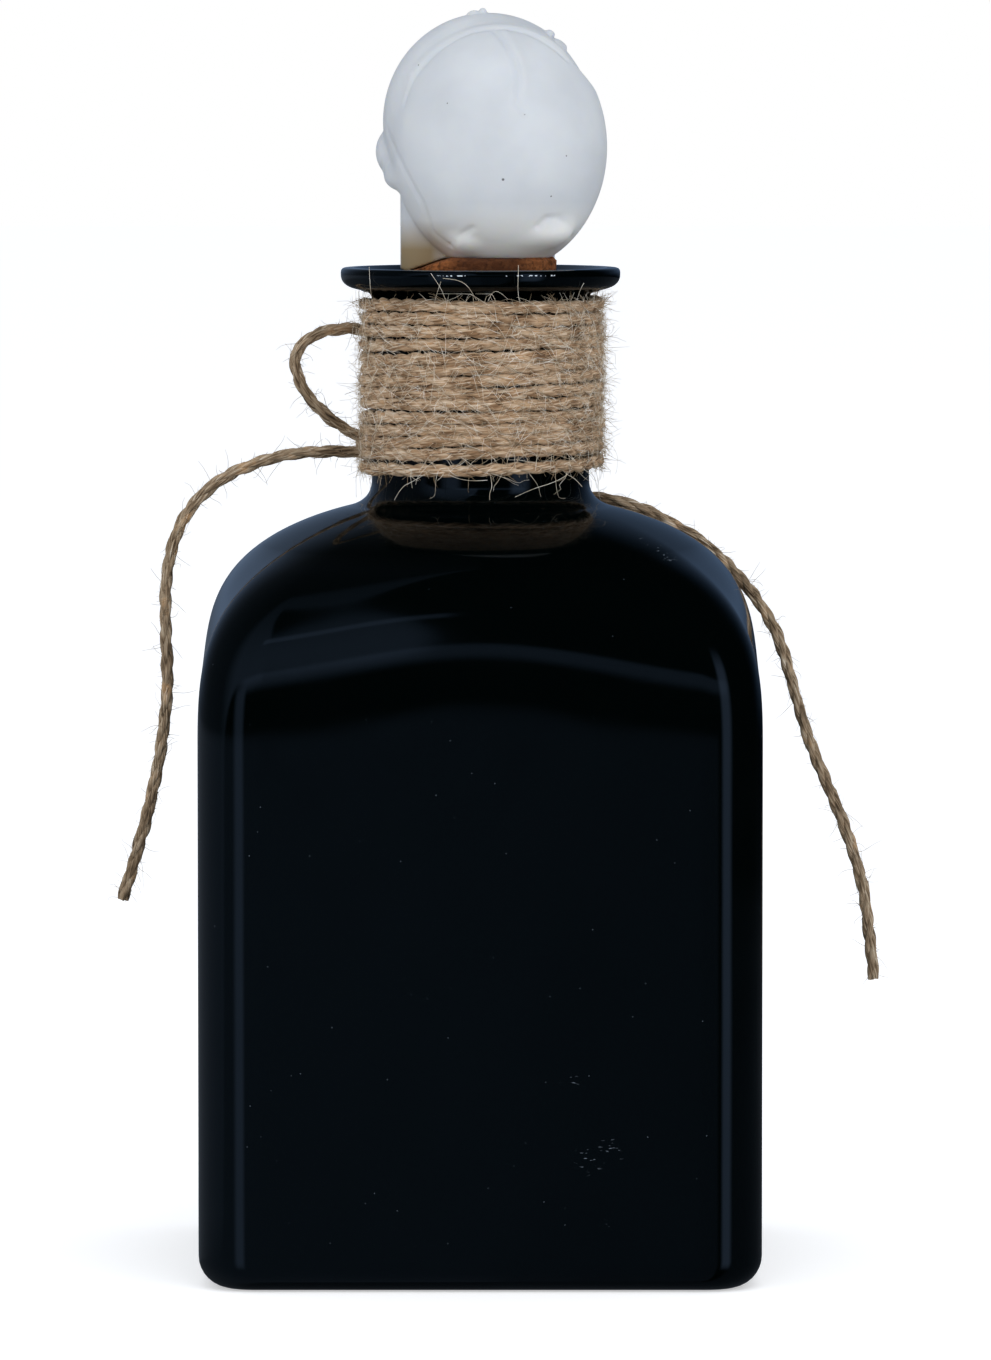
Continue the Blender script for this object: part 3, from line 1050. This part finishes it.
cordPiece("loop_twine", loopRoute, "twine_loop", 21)
cordPiece("left_end_twine", leftRoute, "twine_tail_left", 31)
cordPiece("right_end_twine", rightRoute, "twine_tail_right", 41)


# floor: paper that reads white to the camera, with the shadow kept

paper = {"half": 8, "shade": (0.8, 0.8, 0.8, 1), "seen": (0.9, 0.9, 0.9, 1), "rough": 0.9, "shine": 0.1,
         "glow": 0.45}


def paperFloor():
    material, where = newMaterial("white_paper_floor")
    camera = add("LightPath", get="Is Camera Ray")
    tone = add("Mix", {"Factor": camera, 6: paper["shade"], 7: paper["seen"]}, get=2, data_type="RGBA")
    matt = add("BsdfPrincipled", {"Base Color": tone, "Roughness": paper["rough"],
                                  "Specular IOR Level": paper["shine"]})
    glow = add("Emission", {"Color": (1, 1, 1, 1), "Strength": paper["glow"]})
    lit = add("AddShader", {0: matt, 1: glow})
    seen = add("MixShader", {0: camera, 1: matt, 2: lit})
    add("OutputMaterial", {"Surface": seen})
    return material


half = paper["half"]
floorMesh = bpy.data.meshes.new("floor")
floorMesh.from_pydata([(-half, -half, 0), (half, -half, 0), (half, half, 0), (-half, half, 0)], [],
                      [(0, 1, 2, 3)])
floorMesh.materials.append(paperFloor())
floor = linked("floor", floorMesh)
floor.visible_glossy = False


# studio: white to the camera, grey to matt surfaces. The glass mirrors a pale wall on the left, a dark room
# on the right, a strip of light along the far edge of a dim table, two upright lamps and a bright backdrop
def studioWorld():
    world = bpy.data.worlds.new("studio")
    world.use_nodes = True
    beginNodes(world.node_tree)
    rays = add("LightPath", get=None)
    axis = add("SeparateXYZ", add("TexCoord", get="Generated"), get=None)
    bearing = add("Math", add("Math", axis["X"], times(axis["Y"], -1), operation="ARCTAN2"),
                  operation="DEGREES")
    rise = add("Math", add("Math", axis["Z"], operation="ARCSINE"), operation="DEGREES")

    def eased(value, start, end, *amounts):
        return add("MapRange", value, start, end, *amounts, interpolation_type="SMOOTHSTEP")

    def hump(value, start, full, fade, end):
        return times(eased(value, start, full), eased(value, end, fade))

    amount = times(eased(rise, -2, -4), eased(bearing, 2.5, -2.2, 0.11, 0.17), eased(bearing, 30, 20),
                   eased(bearing, -180, -90, 0.35, 1))  # the table
    above = add("Math", add("Math", rise, 15, operation="SUBTRACT"), 0, operation="MAXIMUM")
    corner = add("Math", add("Math", above, 2, operation="POWER"), 0.009, bearing, operation="MULTIPLY_ADD")
    lower = add("Math", rise, eased(bearing, -40, -75, 0, 22), operation="ADD")
    mirrored = {
        "sideTable": times(eased(rise, -4.5, -6.5), eased(bearing, 40, 60), 0.07),
        "strip": times(hump(rise, 7, 12, 15, 18), hump(bearing, -40, -20, 40, 58), 0.3),
        "leftLamp": times(hump(bearing, -46, -34, -27, -18), hump(rise, -40, -15, 8, 14), 0.5),
        "rightLamp": times(hump(bearing, 29, 38, 46, 57), hump(rise, -40, -15, 20, 42), 0.8),
        "wall": times(eased(corner, -1.8, -4.5), eased(lower, 9, 16), eased(rise, 85, 18, 0.12, 0.42),
                      eased(bearing, -75, -45, 0.22, 1)),
        "sill": times(hump(rise, 37, 39, 40.5, 43), hump(bearing, -16, -11, -5, -2.5), 0.35),
    }
    for strength in mirrored.values():
        amount = add("Math", amount, strength, operation="ADD")
    backdrop = times(eased(add("Math", bearing, operation="ABSOLUTE"), 110, 176), eased(rise, -6, 4),
                     eased(rise, 50, 12), 0.3)
    glossy = add("AddShader", {0: add("Background", hexColour("#c3d2e6"), amount),
                               1: add("Background", hexColour("#8fb0dc"), backdrop)})
    matt = add("MixShader", rays["Is Camera Ray"], add("Background", (0.62, 0.65, 0.70, 1), 1),
               add("Background", (1, 1, 1, 1), 1))
    add("OutputWorld", {"Surface": add("MixShader", rays["Is Glossy Ray"], matt, glossy)})
    return world


scene.world = studioWorld()
lampTarget = Vector((0, 0, 0.1))
lamps = {  # place, size and watts
    "key": ((0.15, -1.1, 1.7), 1.2, 8), "right_fill": ((1.3, -1, 0.6), 1.2, 4),
    "left_fill": ((-1.3, -1, 0.6), 1.2, 4), "low_front": ((0, -1.7, 0.1), 0.8, 7.5),
}
for name, (location, size, power) in lamps.items():
    lamp = linked(name, bpy.data.lights.new(name, "AREA"))
    lamp.data.size = size
    lamp.data.energy = power
    lamp.location = location
    lamp.rotation_euler = (lampTarget - Vector(location)).to_track_quat("-Z", "Y").to_euler()
    lamp.visible_glossy = False
scene.view_settings.view_transform = "Standard"
print("floor and light set")
